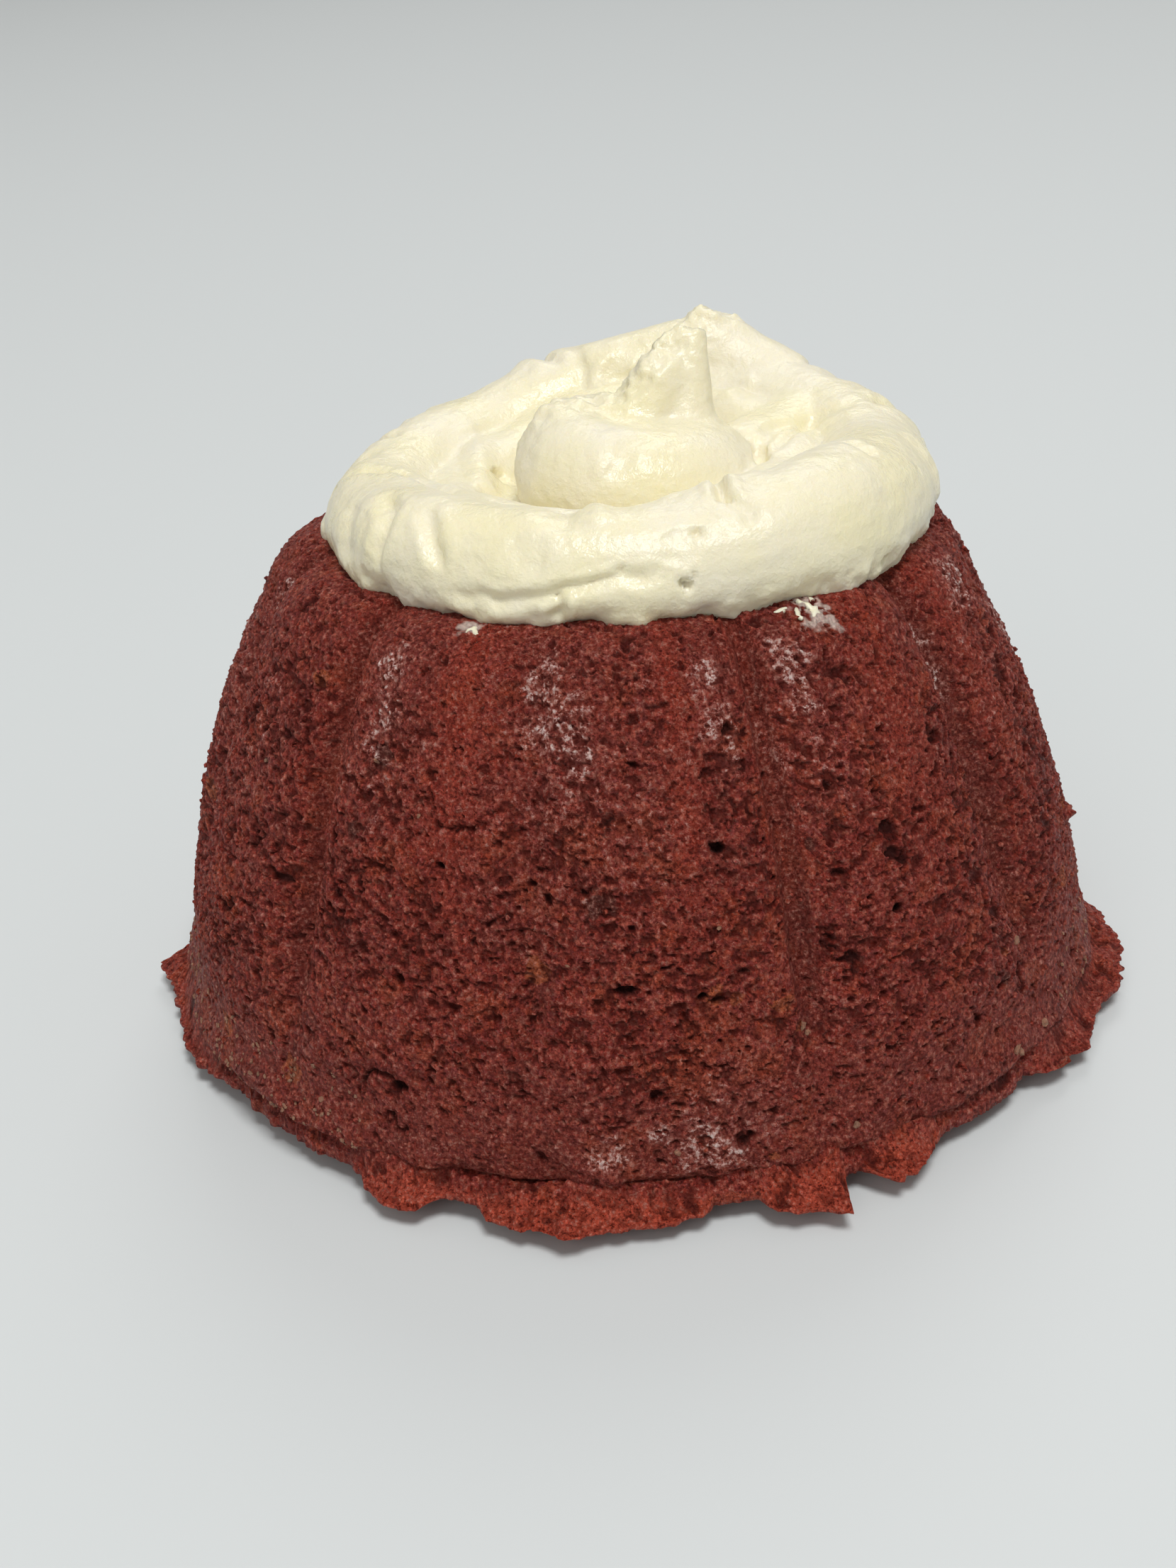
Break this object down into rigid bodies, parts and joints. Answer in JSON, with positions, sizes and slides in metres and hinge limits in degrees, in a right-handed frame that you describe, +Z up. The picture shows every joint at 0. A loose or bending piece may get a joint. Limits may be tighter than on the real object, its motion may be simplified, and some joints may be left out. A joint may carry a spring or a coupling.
{
  "type": "red velvet bundt cake",
  "caption": "Small round fluted red velvet cake with a ragged skirt at its foot and a piped swirl of cream cheese frosting on top.",
  "frame": {"origin": "on the cake's axis, at the centre of the flat spot that the cake rests on", "axes": "+Z up along the cake's axis; -Y is the front, with the fold of the frosting at its left"},
  "size_m": [0.0996, 0.1016, 0.0654],
  "materials": {
    "red_velvet_crumb": "open moist crumb, rough, with a faint greasy sheen",
    "cream_cheese_frosting": "smooth, soft wet sheen"
  },
  "bodies": {
    "root": {"cake": "red_velvet_crumb", "frosting": "cream_cheese_frosting"}
  },
  "joints": []
}
